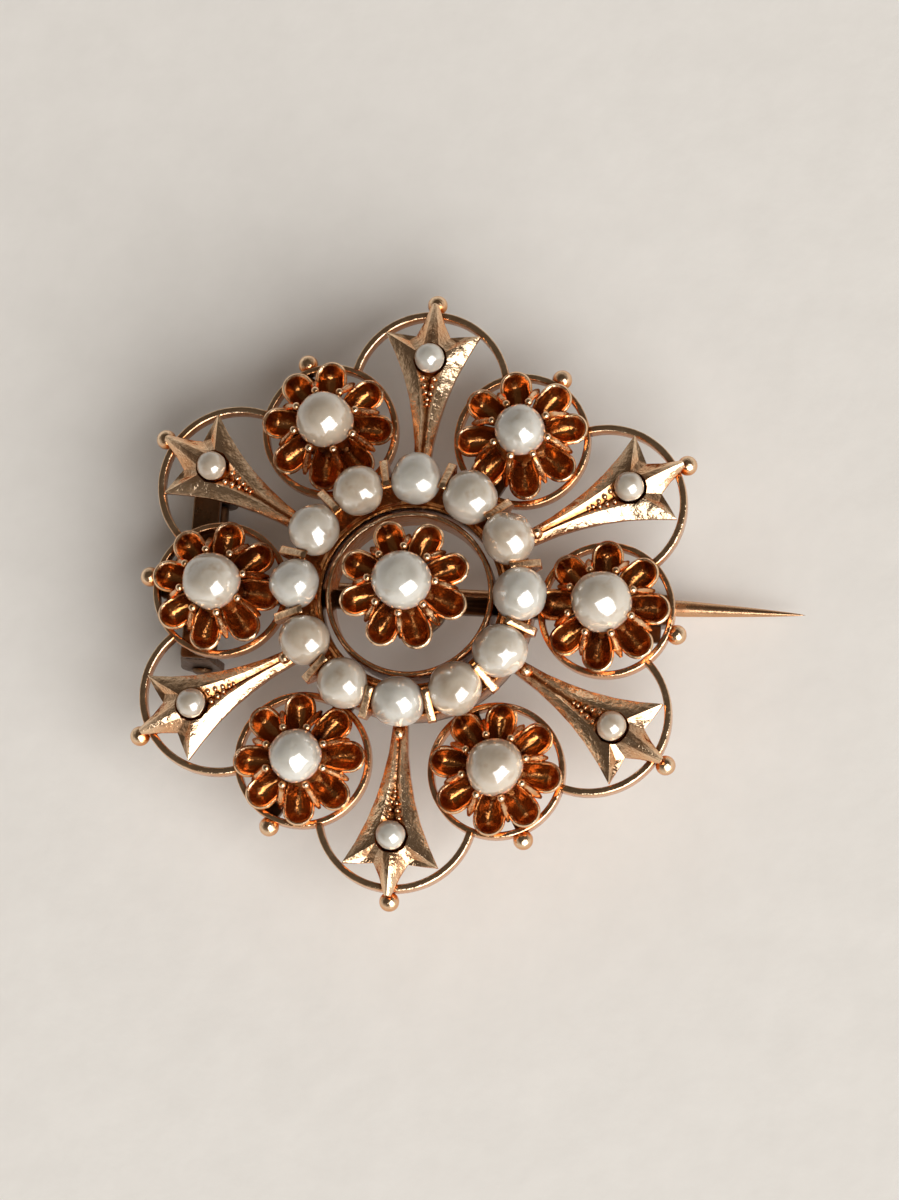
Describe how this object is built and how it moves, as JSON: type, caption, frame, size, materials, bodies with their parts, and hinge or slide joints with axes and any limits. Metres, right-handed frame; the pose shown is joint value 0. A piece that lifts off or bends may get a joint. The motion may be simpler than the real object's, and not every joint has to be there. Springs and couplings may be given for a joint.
{
  "type": "pearl brooch",
  "caption": "Round star-flower brooch in rose gold set with pearls: a raised centre flower, ringed flowers and trumpet arms, and a hinged pin stem behind.",
  "frame": {"origin": "middle of the flat back of the frame's hub, on the brooch's own axis", "axes": "+Z out of the front of the brooch, +X along the pin stem from its hinge to its point, +Y across the pin stem"},
  "size_m": [0.0292, 0.0278, 0.0101],
  "materials": {
    "rose_gold": "polished rose gold with patina in the recesses",
    "worn_gold": "unpolished rose gold, darkened with age",
    "pearl": "cream pearl with a soft lustre"
  },
  "bodies": {
    "brooch": {"back_spider": "worn_gold", "flower_ring_1": "rose_gold", "flower_coronet_1": "rose_gold", "flower_pearl_1": "pearl", "flower_ring_2": "rose_gold", "flower_coronet_2": "rose_gold", "flower_pearl_2": "pearl", "flower_ring_3": "rose_gold", "flower_coronet_3": "rose_gold", "flower_pearl_3": "pearl", "flower_ring_4": "rose_gold", "flower_coronet_4": "rose_gold", "flower_pearl_4": "pearl", "flower_ring_5": "rose_gold", "flower_coronet_5": "rose_gold", "flower_pearl_5": "pearl", "flower_ring_6": "rose_gold", "flower_coronet_6": "rose_gold", "flower_pearl_6": "pearl", "centre_coronet": "rose_gold", "centre_pearl": "pearl", "centre_ring_wire": "rose_gold", "pearl_gallery": "rose_gold", "ring_pearl_1": "pearl", "ring_pearl_2": "pearl", "ring_pearl_3": "pearl", "ring_pearl_4": "pearl", "ring_pearl_5": "pearl", "ring_pearl_6": "pearl", "ring_pearl_7": "pearl", "ring_pearl_8": "pearl", "ring_pearl_9": "pearl", "ring_pearl_10": "pearl", "ring_pearl_11": "pearl", "ring_pearl_12": "pearl", "arm_1": "rose_gold", "seed_pearl_1": "pearl", "loop_wire_1": "rose_gold", "arm_2": "rose_gold", "seed_pearl_2": "pearl", "loop_wire_2": "rose_gold", "arm_3": "rose_gold", "seed_pearl_3": "pearl", "loop_wire_3": "rose_gold", "arm_4": "rose_gold", "seed_pearl_4": "pearl", "loop_wire_4": "rose_gold", "arm_5": "rose_gold", "seed_pearl_5": "pearl", "loop_wire_5": "rose_gold", "arm_6": "rose_gold", "seed_pearl_6": "pearl", "loop_wire_6": "rose_gold", "hinge_plate": "worn_gold", "hinge_rivet": "worn_gold", "pin_catch": "worn_gold"},
    "t_bar": {"pin_t_bar": "worn_gold"},
    "pin": {"pin_stem": "worn_gold"}
  },
  "joints": [
    {"name": "pin_swing", "type": "hinge", "parent": "brooch", "child": "t_bar", "pos_m": [-0.0097, 0.001, -0.00255], "axis": [0, 1, 0], "range_deg": [0, 180]},
    {"name": "pin_flex", "type": "hinge", "parent": "t_bar", "child": "pin", "pos_m": [-0.00907, 0.001, -0.00255], "axis": [0, 0, 1], "range_deg": [0, 5], "stiffness_Nm_per_rad": 0.2}
  ]
}
